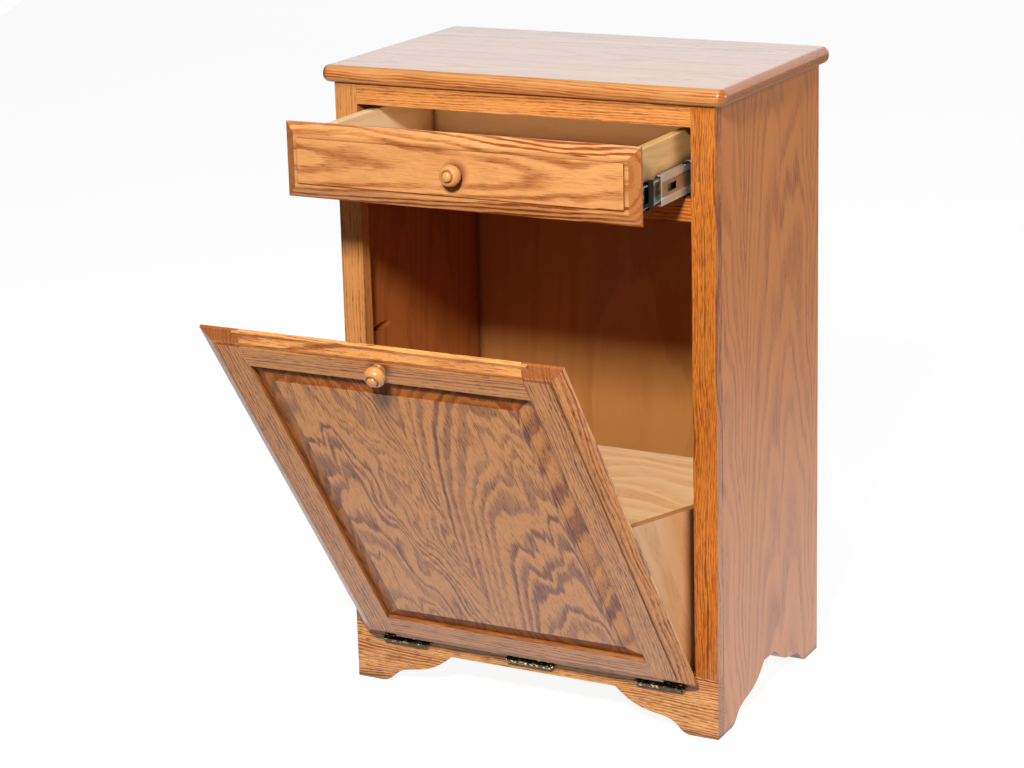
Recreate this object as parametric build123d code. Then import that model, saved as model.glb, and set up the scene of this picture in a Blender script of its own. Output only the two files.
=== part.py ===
from build123d import *
from math import cos, radians, sin, tan
import os

# Tilt-out bin cabinet with a drawer above, all lengths in millimetres.
# X runs to the right, Y back from the front of the face frame, Z up from the floor.
# Each piece is drawn with the door and drawer closed, then set as the object stands open.

# Case
case_width = 530.0
case_depth = 342.0
case_height = 816.0
side_thickness = 19.0
back_thickness = 6.0
back_rabbet = 8.0
back_lift = 60.0
shelf_thickness = 12.0
shelf_dado = 5.0

# Face frame
frame_thickness = 19.0
stile_width = 32.0
top_rail_height = 27.0
drawer_opening_height = 87.0
middle_rail_height = 30.0
base_height = 81.0

# Bracket feet
front_foot_width = 37.0
front_ogee_run = 108.0
front_arch_height = 49.5
side_foot_width = 41.0
side_ogee_run = 112.0
side_arch_height = 52.0

# Top board
top_thickness = 22.0
top_side_overhang = 16.0
top_front_overhang = 10.0
top_back_overhang = 4.0
top_upper_round = 10.0
top_lower_round = 9.5
top_corner_round = 12.0

# Cleats that carry the top board
side_cleat_width = 19.0
side_cleat_height = 19.0
back_cleat_depth = 19.0
back_cleat_height = 24.0

# Door and drawer front share one edge: thin rim, bevel, narrow flat and a small step
front_gap = 1.5
front_thickness = 12.5
front_rim = 3.5
front_bevel_width = 13.5
front_flat_width = 5.5
front_step_height = 2.0
front_side_lap = 7.5

# Door frame and raised panel
door_below_shelf = 5.0
door_drawer_gap = 1.5
door_stile_width = 53.0
door_rail_width = 53.0
groove_depth = 8.0
groove_width = 3.5
groove_from_back = 2.5
groove_play = 1.0
field_below_face = 1.0
panel_bevel_width = 25.0
panel_step_height = 0.8
sight_play = 0.3
door_knob_below_top = 27.0

# Carrier for the waste bin, fixed behind the door
carrier_clearance = 5.0
floor_thickness = 12.0
floor_shelf_clearance = 2.0
floor_back_clearance = 3.0
gusset_thickness = 12.0
gusset_rise = 301.0
gusset_reach = 291.0
gusset_nose = 10.0

# Door opening and its stops
open_angle = 34.9
stop_clearance = 0.3
stop_from_nose = 7.0
stop_length = 36.0
stop_height = 26.0

# Hinges along the bottom of the door
pivot_y = -5.2
pivot_below_shelf = 17.0
hinge_length = 63.5
hinge_inset = 15.5
middle_knuckle_length = 22.0
knuckle_radius = 4.8
knuckle_gap = 0.3
pin_radius = 2.0
pin_play = 0.05
pin_tip_radius = 3.4
leaf_thickness = 1.2
leaf_on_rail = 16.0
leaf_notch = 0.8
door_leaf_height = 28.0

# Drawer
drawer_front_lower_lap = 1.5
drawer_front_upper_lap = 6.0
drawer_board = 12.0
drawer_box_clearance = 6.0
drawer_box_length = 322.0
drawer_bottom_thickness = 5.0
drawer_bottom_lift = 7.0
drawer_groove_depth = 5.0
drawer_groove_play = 0.1
drawer_edge_round = 1.5
drawer_pull = 152.5

# Ball-bearing slides: an outer member, a middle member with windows and an inner member.
# Two pairs of plastic ball cages ride on the middle member, and a release lever clips round the inner one.
slide_thickness = 12.7
slide_height = 45.0
slide_length = 300.0
slide_setback = 2.0
slide_lift = 1.0
slide_steel = 1.2
slide_outer_reach = 9.5
slide_running_gap = 0.4
slide_middle_height = 37.5
slide_middle_from_case = 5.0
slide_inner_height = 27.0
slide_inner_reach = 5.2
slide_window_length = 27.0
slide_window_height = 9.5
slide_window_inset = 17.0
slide_cage_length = 190.0
slide_cage_setback = 70.0
slide_lever_start = 43.0
slide_lever_length = 14.0
slide_lever_lip = 0.8
slide_lever_arm_length = 26.0
slide_lever_arm_height = 5.0
case_screw_inset = 40.0
drawer_screw_inset = 34.0

# Knobs
knob_radius = 13.5
knob_projection = 25.0
knob_foot_radius = 8.8
knob_neck_radius = 6.6
knob_button_radius = 6.4
knob_heights = (0.08, 0.15, 0.24, 0.5, 0.76, 0.9, 0.91)
knob_face_inset = 2.6
knob_face_lift = 0.7
knob_shoulder_bulge = 1.6
knob_ring_width = 0.7
knob_bore_depth = 12.0
knob_bore_spare = 2.0

# Screws
wood_screw_radius = 1.6
wood_screw_head_radius = 3.1
wood_screw_head_depth = 1.5
pan_head_taper = 0.8
slide_screw_head_height = 1.8
slide_screw_length = 11.0
hinge_screw_length = 9.0
door_hinge_screw_length = 7.0
hinge_screw_spread = 22.0
stop_screw_length = 42.0
knob_screw_radius = 2.0
knob_screw_head_radius = 4.0
knob_screw_head_height = 2.4
counterbore_radius = 4.4
counterbore_depth = 3.2
pocket_radius = 4.75
pocket_angle = 12.0
pocket_low_height = 180.0
pocket_middle_height = 478.0
pocket_below_top = 56.0
pocket_stock = 14.0
pocket_screw_length = 25.0
pocket_screw_radius = 1.8
pocket_head_radius = 4.3
pocket_head_height = 2.0

# Places that follow from the sizes above
half_case = case_width / 2
wall_x = half_case - side_thickness
opening_x = half_case - stile_width
back_face_y = case_depth - back_thickness
top_rail_bottom = case_height - top_rail_height
middle_rail_top = top_rail_bottom - drawer_opening_height
middle_rail_bottom = middle_rail_top - middle_rail_height
pivot_z = base_height - pivot_below_shelf
pocket_heights = (pocket_low_height, pocket_middle_height, case_height - pocket_below_top)
drawer_front_bottom = middle_rail_top - drawer_front_lower_lap
drawer_front_top = top_rail_bottom + drawer_front_upper_lap
door_bottom = base_height - door_below_shelf
door_top = drawer_front_bottom - door_drawer_gap
drawer_box_bottom = middle_rail_top + drawer_box_clearance
drawer_box_top = top_rail_bottom - drawer_box_clearance
slide_middle_z = middle_rail_top + slide_lift + slide_height / 2
front_back_y = -front_gap
front_face_y = -front_gap - front_thickness
half_front = opening_x + front_side_lap
front_width = 2 * half_front
hinge_spread = opening_x - hinge_inset - hinge_length / 2
front_rise = front_thickness - front_rim - front_step_height
front_field_inset = front_bevel_width + front_flat_width
carrier_x = opening_x - carrier_clearance
floor_bottom = base_height + floor_shelf_clearance
floor_top = floor_bottom + floor_thickness
floor_back_y = back_face_y - floor_back_clearance
door_leaf_top = pivot_z + door_leaf_height
box_x = opening_x - slide_thickness
box_inner_x = box_x - drawer_board
box_back_y = front_back_y + drawer_box_length
slide_back_y = slide_setback + slide_length
outer_flange_z = slide_height / 2 - slide_steel
middle_top_z = slide_middle_height / 2
inner_top_z = slide_inner_height / 2
middle_web_x = opening_x - slide_middle_from_case
middle_tip_x = box_x + slide_steel + slide_running_gap

bottom_align = (Align.CENTER, Align.CENTER, Align.MIN)


def block(x, y, z):
    """A square-edged piece between two limits along each axis."""
    place = Pos((x[0] + x[1]) / 2, (y[0] + y[1]) / 2, (z[0] + z[1]) / 2)
    return place * Box(x[1] - x[0], y[1] - y[0], z[1] - z[0])


def rod(start, direction, radius, length):
    """A round bar from a point along a direction."""
    place = Plane(origin=start, z_dir=direction).location
    return place * Cylinder(radius, length, align=bottom_align)


def other_side(piece):
    """The same piece on the left of the cabinet."""
    return mirror(piece, about=Plane.YZ)


def group(pieces):
    """Loose pieces that are kept together as one set."""
    return Compound([solid for piece in pieces for solid in piece.solids()])


def opened(y, z):
    """Where a point of the closed door lies once the door has tilted out."""
    turn = radians(open_angle)
    dy, dz = y - pivot_y, z - pivot_z
    return pivot_y + dy * cos(turn) - dz * sin(turn), pivot_z + dy * sin(turn) + dz * cos(turn)


def countersunk_screw(start, direction, length):
    """A flat-head screw whose head is flush at its start."""
    place = Plane(origin=start, z_dir=direction).location
    head = Cone(wood_screw_head_radius, wood_screw_radius, wood_screw_head_depth, align=bottom_align)
    shank = Cylinder(wood_screw_radius, length, align=bottom_align)
    return place * (head + shank)


def pan_screw(start, direction, length, radius, head_radius, head_height):
    """A pan-head screw whose head stands on the surface at its start."""
    place = Plane(origin=start, z_dir=direction).location
    shank = Cylinder(radius, length, align=bottom_align)
    crown_radius = head_radius * pan_head_taper
    head = Pos(0, 0, -head_height) * Cone(crown_radius, head_radius, head_height, align=bottom_align)
    return place * (head + shank)


def ogee(toe, crown):
    """The double curve of a bracket foot, from its toe on the floor to the crown of the arch."""
    run, rise = crown[0] - toe[0], crown[1] - toe[1]
    shares = ((0.22, 0.28), (0.5, 0.46), (0.76, 0.63))
    inner = [(toe[0] + run * a, toe[1] + rise * b) for a, b in shares]
    return Spline(toe, *inner, crown, tangents=[(run, 0), (run, rise * 1.7)])


def arch_cut(length, foot_width, ogee_run, height, depth):
    """The space under a board between its two feet, drawn from the board's middle."""
    toe, crown = length / 2 - foot_width, length / 2 - foot_width - ogee_run
    right = ogee((toe, 0), (crown, height))
    left = mirror(right, about=Plane.YZ)
    outline = right + Line((crown, height), (-crown, height)) + left + Line((-toe, 0), (toe, 0))
    face = Plane.XZ * make_face(outline)
    return extrude(face, depth, both=True)


def make_top_board():
    half_x = half_case + top_side_overhang
    span_y = (-top_front_overhang, case_depth + top_back_overhang)
    board = block((-half_x, half_x), span_y, (case_height, case_height + top_thickness))
    board = fillet(board.edges().filter_by(Axis.Z), top_corner_round)
    board = fillet(board.edges().group_by(Axis.Z)[-1], top_upper_round)
    return fillet(board.edges().group_by(Axis.Z)[0], top_lower_round)


def pocket_axis(height):
    """The point where a pocket screw leaves the side panel, and its direction back and inwards."""
    mouth = (half_case - side_thickness / 2, frame_thickness, height)
    return mouth, (-sin(radians(pocket_angle)), cos(radians(pocket_angle)), 0)


def along(start, direction, distance):
    return tuple(a + b * distance for a, b in zip(start, direction))


def pocket_screw(height):
    mouth, back = pocket_axis(height)
    forward = tuple(-b for b in back)
    seat = along(mouth, back, pocket_stock)
    return pan_screw(
        seat, forward, pocket_screw_length, pocket_screw_radius, pocket_head_radius, pocket_head_height
    )


def make_side_panel():
    panel = block((wall_x, half_case), (frame_thickness, case_depth), (0, case_height))
    panel -= block((wall_x, wall_x + back_rabbet), (back_face_y, case_depth), (0, case_height))
    shelf_z = (base_height - shelf_thickness, base_height)
    panel -= block((wall_x, wall_x + shelf_dado), (frame_thickness, back_face_y), shelf_z)
    arch = arch_cut(case_depth, side_foot_width, side_ogee_run, side_arch_height, side_thickness)
    panel -= Pos(half_case - side_thickness / 2, case_depth / 2, 0) * (Rot(0, 0, 90) * arch)
    reach = side_thickness / tan(radians(pocket_angle))
    for height in pocket_heights:
        mouth, back = pocket_axis(height)
        seat = along(mouth, back, pocket_stock)
        panel -= rod(seat, back, pocket_radius, reach)
        panel -= pocket_screw(height)
    for screw in stop_screws():
        panel -= screw
    return panel


def make_stile():
    stile = block((opening_x, half_case), (0, frame_thickness), (base_height, case_height))
    for height in pocket_heights:
        stile -= pocket_screw(height)
    return stile


def make_base_rail():
    rail = block((-half_case, half_case), (0, frame_thickness), (0, base_height))
    arch = arch_cut(case_width, front_foot_width, front_ogee_run, front_arch_height, frame_thickness)
    rail -= Pos(0, frame_thickness / 2, 0) * arch
    for screw in frame_leaf_screws():
        rail -= screw
    return rail


def make_frame_rail(bottom, top):
    return block((-opening_x, opening_x), (0, frame_thickness), (bottom, top))


def make_back_panel():
    half = wall_x + back_rabbet
    return block((-half, half), (back_face_y, case_depth), (back_lift, case_height))


def make_bottom_shelf():
    half = wall_x + shelf_dado
    z = (base_height - shelf_thickness, base_height)
    return block((-half, half), (frame_thickness, back_face_y), z)


def make_side_cleat():
    y = (frame_thickness, back_face_y - back_cleat_depth)
    return block((wall_x - side_cleat_width, wall_x), y, (case_height - side_cleat_height, case_height))


def make_back_cleat():
    y = (back_face_y - back_cleat_depth, back_face_y)
    return block((-wall_x, wall_x), y, (case_height - back_cleat_height, case_height))


def slide_z(half):
    return slide_middle_z - half, slide_middle_z + half


def outer_slide_screws():
    for y in (slide_setback + case_screw_inset, slide_back_y - case_screw_inset):
        start = (opening_x - slide_steel, y, slide_middle_z)
        yield pan_screw(
            start, (1, 0, 0), slide_screw_length, wood_screw_radius, wood_screw_head_radius,
            slide_screw_head_height
        )


def inner_slide_screws():
    for y in (slide_setback + drawer_screw_inset, slide_back_y - drawer_screw_inset):
        start = (box_x + slide_steel, y, slide_middle_z)
        yield pan_screw(
            start, (-1, 0, 0), slide_screw_length, wood_screw_radius, wood_screw_head_radius,
            slide_screw_head_height
        )


def make_slide_spacer():
    y = (frame_thickness, back_face_y)
    spacer = block((opening_x, wall_x), y, slide_z(slide_height / 2))
    for screw in outer_slide_screws():
        spacer -= screw
    return spacer


def channel(web_x, tip_x, half_height, steel):
    """A slide member: an upright web with a flange along its top and bottom edges."""
    y = (slide_setback, slide_back_y)
    step = steel if tip_x > web_x else -steel
    web = block(sorted((web_x, web_x + step)), y, slide_z(half_height))
    for sign in (-1, 1):
        z = sorted((slide_middle_z + sign * half_height, slide_middle_z + sign * (half_height - steel)))
        web += block(sorted((web_x, tip_x)), y, z)
    return web


def make_slide_outer():
    member = channel(opening_x, opening_x - slide_outer_reach, slide_height / 2, slide_steel)
    for screw in outer_slide_screws():
        member -= screw
    return member


def make_slide_middle():
    member = channel(middle_web_x, middle_tip_x, middle_top_z, slide_steel)
    rear_window = slide_back_y - slide_window_inset - slide_window_length
    for start in (slide_setback + slide_window_inset, rear_window):
        y = (start, start + slide_window_length)
        member -= block((box_x, opening_x), y, slide_z(slide_window_height / 2))
    return member


def make_slide_cages():
    """Plastic strips that hold the ball rows outside and inside the middle member's flanges."""
    front = slide_setback + slide_cage_setback
    y = (front, front + slide_cage_length)
    outer_x = (opening_x - slide_outer_reach, middle_web_x)
    outer_z = (middle_top_z, outer_flange_z - slide_running_gap)
    inner_x = (middle_tip_x, box_x + slide_inner_reach)
    inner_z = (inner_top_z + slide_running_gap, middle_top_z - slide_steel)
    strips = []
    for x, z in ((outer_x, outer_z), (inner_x, inner_z)):
        strips.append(block(x, y, (slide_middle_z + z[0], slide_middle_z + z[1])))
        strips.append(block(x, y, (slide_middle_z - z[1], slide_middle_z - z[0])))
    return group(strips)


def inner_channel():
    return channel(box_x, box_x + slide_inner_reach, inner_top_z, slide_steel)


def make_slide_lever():
    """The plastic release lever: a collar clipped round the inner member, with a finger arm in front."""
    x = (middle_tip_x, box_x + slide_inner_reach + slide_lever_lip)
    front = slide_setback + slide_lever_start
    reach = middle_top_z - slide_steel - slide_running_gap
    collar = block(x, (front, front + slide_lever_length), slide_z(reach))
    low = slide_middle_z - inner_top_z + slide_steel
    arm = block(x, (front - slide_lever_arm_length, front), (low, low + slide_lever_arm_height))
    return collar + arm - inner_channel()


def make_slide_inner():
    member = inner_channel()
    for screw in inner_slide_screws():
        member -= screw
    return member


def front_slab(width, length):
    """A square front with the shared edge on all four sides, its back on XY and its face up."""
    slab = Box(width, length, front_rim, align=bottom_align)
    low = Plane.XY.offset(front_rim) * Rectangle(width, length)
    inset = 2 * front_bevel_width
    high = Plane.XY.offset(front_rim + front_rise) * Rectangle(width - inset, length - inset)
    slab += loft([low, high], ruled=True)
    inset = 2 * front_field_inset
    face = Box(width - inset, length - inset, front_step_height, align=bottom_align)
    return slab + Pos(0, 0, front_rim + front_rise) * face


def upright(piece, bottom, top):
    """A piece drawn face up, stood upright behind the front line between two heights."""
    place = Plane(origin=(0, front_back_y, (bottom + top) / 2), x_dir=(1, 0, 0), z_dir=(0, -1, 0))
    return place.location * piece


def make_door_frame():
    """Stiles and rails of the door, cut from one edged slab, with stub tenons in the stile grooves."""
    length = door_top - door_bottom
    slab = upright(front_slab(front_width, length), door_bottom, door_top)
    sight_x = half_front - door_stile_width
    sight_z = (door_bottom + door_rail_width, door_top - door_rail_width)
    groove_y = (front_back_y - groove_from_back - groove_width, front_back_y - groove_from_back)
    whole_y = (front_face_y, front_back_y)
    groove_x = sight_x + groove_depth
    groove_z = (sight_z[0] - groove_depth, sight_z[1] + groove_depth)
    groove = block((-groove_x, groove_x), groove_y, groove_z)
    mortises = [door_leaf_recess(x) for x in hinge_places()]
    stile = slab & block((sight_x, half_front), whole_y, (door_bottom, door_top))
    tenon_x = (-groove_x, groove_x)
    rails = {}
    for name, z in (("top", (sight_z[1], door_top)), ("bottom", (door_bottom, sight_z[0]))):
        rail = slab & block((-sight_x, sight_x), whole_y, z)
        rails[name] = rail + block(tenon_x, groove_y, z) - groove
    tenons = block(tenon_x, groove_y, (door_bottom, door_top))
    stile = stile - tenons
    for cut in mortises + list(door_leaf_screws()):
        stile -= cut
        rails["bottom"] -= cut
    knob_height = door_top - door_knob_below_top
    rails["top"] -= knob_screw_hole(knob_height)
    rails["top"] -= rod((0, front_back_y, knob_height), (0, -1, 0), counterbore_radius, counterbore_depth)
    return stile, rails["top"], rails["bottom"]


def make_door_panel():
    """A raised panel: a tongue held in the grooves, a wide bevel and a flat field."""
    sight_width = front_width - 2 * door_stile_width
    sight_length = door_top - door_bottom - 2 * door_rail_width
    reach = 2 * (groove_depth - groove_play)
    tongue = Box(sight_width + reach, sight_length + reach, groove_width, align=bottom_align)
    bevel_rise = front_thickness - groove_from_back - groove_width - field_below_face - panel_step_height
    base = (sight_width - 2 * sight_play, sight_length - 2 * sight_play)
    field = (sight_width - 2 * panel_bevel_width, sight_length - 2 * panel_bevel_width)
    low = Plane.XY.offset(groove_width) * Rectangle(*base)
    high = Plane.XY.offset(groove_width + bevel_rise) * Rectangle(*field)
    raised = Pos(0, 0, groove_width + bevel_rise) * Box(*field, panel_step_height, align=bottom_align)
    panel = tongue + loft([low, high], ruled=True) + raised
    return upright(Pos(0, 0, groove_from_back) * panel, door_bottom, door_top)


def make_bin_floor():
    return block((-carrier_x, carrier_x), (front_back_y, floor_back_y), (floor_bottom, floor_top))


def gusset_outline():
    """The gusset's corners seen from the side, with the door closed."""
    foot_y = front_back_y + gusset_reach
    top_z = floor_top + gusset_rise
    return [
        (front_back_y, floor_top),
        (foot_y, floor_top),
        (foot_y, floor_top + gusset_nose),
        (front_back_y, top_z),
    ]


def make_gusset():
    face = Plane.YZ.offset(carrier_x - gusset_thickness) * make_face(Polyline(*gusset_outline(), close=True))
    return extrude(face, gusset_thickness)


def stop_edge(y):
    """Height of the opened gusset's long edge at a distance behind the face frame."""
    foot, top = gusset_outline()[2:]
    (y1, z1), (y2, z2) = opened(*foot), opened(*top)
    return z1 + (y - y1) * (z2 - z1) / (y2 - y1)


def stop_front():
    """The front end of the stops, a little in front of the opened gusset's nose."""
    return opened(*gusset_outline()[2])[0] - stop_from_nose - stop_length


def stop_screws():
    front = stop_front()
    lift = stop_edge(front) + stop_height / 2 + stop_clearance
    for share in (0.25, 0.75):
        start = (carrier_x - gusset_thickness, front + stop_length * share, lift)
        yield countersunk_screw(start, (1, 0, 0), stop_screw_length)


def make_door_stop():
    """A block on the side wall that the gusset's long edge meets when the door is open."""
    lift = stop_clearance / cos(radians(45 - open_angle))
    front = stop_front()
    back = front + stop_length
    top = stop_edge(front) + stop_height
    lower = [(front, stop_edge(front) + lift), (back, stop_edge(back) + lift)]
    corners = lower + [(back, top), (front, top)]
    face = Plane.YZ.offset(carrier_x - gusset_thickness) * make_face(Polyline(*corners, close=True))
    stop = extrude(face, wall_x - carrier_x + gusset_thickness)
    for screw in stop_screws():
        stop -= screw
    return stop


def hinge_places():
    return (-hinge_spread, 0.0, hinge_spread)


def knuckle(start, end):
    """One rolled knuckle around the hinge pin."""
    length = end - start
    return rod((start, pivot_y, pivot_z), (1, 0, 0), knuckle_radius, length)


def pin_bore(x):
    start = (x - hinge_length, pivot_y, pivot_z)
    return rod(start, (1, 0, 0), pin_radius + pin_play, 2 * hinge_length)


def leaf_screw_places(x):
    return (x - hinge_screw_spread, x + hinge_screw_spread)


def frame_leaf_screws():
    for x in hinge_places():
        for place in leaf_screw_places(x):
            start = (place, leaf_on_rail * 0.6, base_height + leaf_thickness)
            yield countersunk_screw(start, (0, 0, -1), hinge_screw_length)


def door_leaf_screws():
    for x in hinge_places():
        for place in leaf_screw_places(x):
            start = (place, front_back_y, (floor_bottom + door_leaf_top) / 2)
            yield countersunk_screw(start, (0, -1, 0), door_hinge_screw_length)


def make_frame_leaf(x):
    """The hinge leaf that runs up the base rail and over its top, with the middle knuckle."""
    half_knuckle = middle_knuckle_length / 2 - knuckle_gap
    x_all = (x - hinge_length / 2, x + hinge_length / 2)
    x_mid = (x - half_knuckle, x + half_knuckle)
    notch_z = pivot_z + knuckle_radius + leaf_notch
    leaf = block(x_all, (-leaf_thickness, leaf_on_rail), (base_height, base_height + leaf_thickness))
    leaf += block(x_all, (-leaf_thickness, 0), (notch_z, base_height))
    leaf += block(x_mid, (-leaf_thickness, 0), (pivot_z - knuckle_radius / 2, notch_z))
    leaf += knuckle(*x_mid)
    leaf -= pin_bore(x)
    for screw in frame_leaf_screws():
        leaf -= screw
    return leaf


def make_door_leaf(x):
    """The hinge leaf let into the back of the door, with the two end knuckles."""
    notch_z = pivot_z + knuckle_radius + leaf_notch
    y = (front_back_y - leaf_thickness, front_back_y)
    leaf = block((x - hinge_length / 2, x + hinge_length / 2), y, (notch_z, door_leaf_top))
    for sign in (-1, 1):
        ends = sorted((x + sign * middle_knuckle_length / 2, x + sign * hinge_length / 2))
        leaf += block(ends, y, (pivot_z, notch_z))
        leaf += knuckle(*ends)
    leaf -= pin_bore(x)
    for screw in door_leaf_screws():
        leaf -= screw
    return leaf


def door_leaf_recess(x):
    y = (front_back_y - leaf_thickness, front_back_y)
    return block((x - hinge_length / 2, x + hinge_length / 2), y, (door_bottom, door_leaf_top))


def make_hinge_pin(x):
    """The hinge pin with a round tip standing on each end knuckle."""
    start = x - hinge_length / 2
    pin = rod((start, pivot_y, pivot_z), (1, 0, 0), pin_radius, hinge_length)
    for place, way in ((start, -1), (start + hinge_length, 1)):
        tip = Plane(origin=(place, pivot_y, pivot_z), z_dir=(way, 0, 0)).location
        pin += tip * Sphere(pin_tip_radius, arc_size1=0, arc_size2=90, align=Align.NONE)
    return pin


def knob_plane(height):
    return Plane(origin=(0, front_face_y, height), x_dir=(1, 0, 0), z_dir=(0, -1, 0))


def dome(low, high, radius):
    """The arc between two heights of a ball centred on the knob's axis, given its widest radius."""
    middle = (low + high) / 2
    edge = (radius * radius - (high - low) ** 2 / 4) ** 0.5
    return ThreePointArc((edge, low), (radius, middle), (edge, high)), edge


def make_knob(height):
    """A turned wooden knob: foot, short neck, full round head and a raised button in a shallow ring."""
    foot_z, neck_low, neck_high, head_z, rim_z, ring_z, button_z = (
        share * knob_projection for share in knob_heights
    )
    rim, rim_radius = dome(head_z, rim_z, knob_radius)
    face_radius = knob_radius - knob_face_inset
    foot = Polyline((0, 0), (knob_foot_radius, 0), (knob_foot_radius, foot_z), (knob_neck_radius, neck_low))
    shoulder_radius = (knob_neck_radius + rim_radius) / 2 + knob_shoulder_bulge
    shoulder_z = (neck_high + head_z) / 2 - knob_shoulder_bulge
    neck = Polyline((knob_neck_radius, neck_low), (knob_neck_radius, neck_high),
                    (shoulder_radius, shoulder_z), (rim_radius, head_z))
    ring = Polyline((rim_radius, rim_z), (face_radius, (rim_z + ring_z) / 2 + knob_face_lift),
                    (knob_button_radius + knob_ring_width, ring_z), (knob_button_radius, button_z))
    button = TangentArc((0, knob_projection), (knob_button_radius, button_z), tangent=(1, 0))
    outline = foot + neck + rim + ring + button + Line((0, knob_projection), (0, 0))
    body = revolve(Plane.XZ * make_face(outline), Axis.Z)
    body -= Cylinder(knob_screw_radius, knob_bore_depth, align=bottom_align)
    return knob_plane(height).location * body


def knob_screw_hole(height):
    start = (0, box_back_y, height)
    return rod(start, (0, -1, 0), knob_screw_radius, box_back_y - front_face_y)


def make_knob_screw(height, seat_y):
    start = (0, seat_y, height)
    length = seat_y - front_face_y + knob_bore_depth - knob_bore_spare
    return pan_screw(
        start, (0, -1, 0), length, knob_screw_radius, knob_screw_head_radius, knob_screw_head_height
    )


def bottom_groove():
    """The groove that holds the drawer bottom, as one plate that is cut from every board."""
    x = box_inner_x + drawer_groove_depth
    low = drawer_box_bottom + drawer_bottom_lift
    high = low + drawer_bottom_thickness + 2 * drawer_groove_play
    y = (front_back_y + drawer_board - drawer_groove_depth, box_back_y)
    return block((-x, x), y, (low, high))


def drawer_knob_height():
    return (drawer_front_bottom + drawer_front_top) / 2


def make_drawer_side():
    z = (drawer_box_bottom, drawer_box_top)
    side = block((box_inner_x, box_x), (front_back_y, box_back_y), z)
    side = fillet(side.edges().filter_by(Axis.Y).group_by(Axis.Z)[-1], drawer_edge_round)
    side -= bottom_groove()
    for screw in inner_slide_screws():
        side -= screw
    return side


def make_drawer_box_front():
    y = (front_back_y, front_back_y + drawer_board)
    board = block((-box_inner_x, box_inner_x), y, (drawer_box_bottom, drawer_box_top))
    return board - bottom_groove() - knob_screw_hole(drawer_knob_height())


def make_drawer_back():
    low = drawer_box_bottom + drawer_bottom_lift + drawer_bottom_thickness + 2 * drawer_groove_play
    y = (box_back_y - drawer_board, box_back_y)
    return block((-box_inner_x, box_inner_x), y, (low, drawer_box_top))


def make_drawer_bottom():
    x = box_inner_x + drawer_groove_depth - drawer_groove_play
    low = drawer_box_bottom + drawer_bottom_lift + drawer_groove_play
    y = (front_back_y + drawer_board - drawer_groove_depth + drawer_groove_play, box_back_y)
    return block((-x, x), y, (low, low + drawer_bottom_thickness))


def make_drawer_front():
    slab = front_slab(front_width, drawer_front_top - drawer_front_bottom)
    front = upright(slab, drawer_front_bottom, drawer_front_top)
    return front - knob_screw_hole(drawer_knob_height())


def both_sides(name, piece):
    return {"left_" + name: other_side(piece), "right_" + name: piece}


def cabinet_pieces():
    pieces = {
        "top_board": make_top_board(),
        "base_rail": make_base_rail(),
        "middle_rail": make_frame_rail(middle_rail_bottom, middle_rail_top),
        "top_rail": make_frame_rail(top_rail_bottom, case_height),
        "back_panel": make_back_panel(),
        "bottom_shelf": make_bottom_shelf(),
        "back_top_cleat": make_back_cleat(),
    }
    pieces.update(both_sides("side_panel", make_side_panel()))
    pieces.update(both_sides("stile", make_stile()))
    pieces.update(both_sides("top_cleat", make_side_cleat()))
    pieces.update(both_sides("slide_spacer", make_slide_spacer()))
    pieces.update(both_sides("slide_outer_member", make_slide_outer()))
    pieces.update(both_sides("door_stop", make_door_stop()))
    for name, x in zip(("left", "middle", "right"), hinge_places()):
        pieces[name + "_hinge_frame_leaf"] = make_frame_leaf(x)
        pieces[name + "_hinge_pin"] = make_hinge_pin(x)
    pockets = [pocket_screw(height) for height in pocket_heights]
    slides = list(outer_slide_screws())
    stops = list(stop_screws())
    pieces["pocket_screws"] = group(pockets + [other_side(s) for s in pockets])
    pieces["case_slide_screws"] = group(slides + [other_side(s) for s in slides])
    pieces["door_stop_screws"] = group(stops + [other_side(s) for s in stops])
    pieces["frame_hinge_screws"] = group(frame_leaf_screws())
    return pieces


def door_pieces():
    stile, top_rail, bottom_rail = make_door_frame()
    knob_height = door_top - door_knob_below_top
    pieces = {
        "door_top_rail": top_rail,
        "door_bottom_rail": bottom_rail,
        "door_panel": make_door_panel(),
        "door_knob": make_knob(knob_height),
        "door_knob_screw": make_knob_screw(knob_height, front_back_y - counterbore_depth),
        "bin_floor": make_bin_floor(),
        "door_hinge_screws": group(door_leaf_screws()),
    }
    pieces.update(both_sides("door_stile", stile))
    pieces.update(both_sides("gusset", make_gusset()))
    for name, x in zip(("left", "middle", "right"), hinge_places()):
        pieces[name + "_hinge_door_leaf"] = make_door_leaf(x)
    return pieces


def drawer_pieces():
    height = drawer_knob_height()
    slides = list(inner_slide_screws())
    pieces = {
        "drawer_front": make_drawer_front(),
        "drawer_box_front": make_drawer_box_front(),
        "drawer_back": make_drawer_back(),
        "drawer_bottom": make_drawer_bottom(),
        "drawer_knob": make_knob(height),
        "drawer_knob_screw": make_knob_screw(height, front_back_y + drawer_board),
        "drawer_slide_screws": group(slides + [other_side(s) for s in slides]),
    }
    pieces.update(both_sides("drawer_side", make_drawer_side()))
    pieces.update(both_sides("slide_inner_member", make_slide_inner()))
    pieces.update(both_sides("slide_lever", make_slide_lever()))
    return pieces


def slide_middle_pieces():
    pieces = both_sides("slide_middle_member", make_slide_middle())
    pieces.update(both_sides("slide_ball_cages", make_slide_cages()))
    return pieces


def tilt_out(piece):
    """Turns a door piece about the hinge pins to its open place."""
    hinge_line = Pos(0, pivot_y, pivot_z)
    return hinge_line * Rot(open_angle, 0, 0) * hinge_line.inverse() * piece


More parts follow.
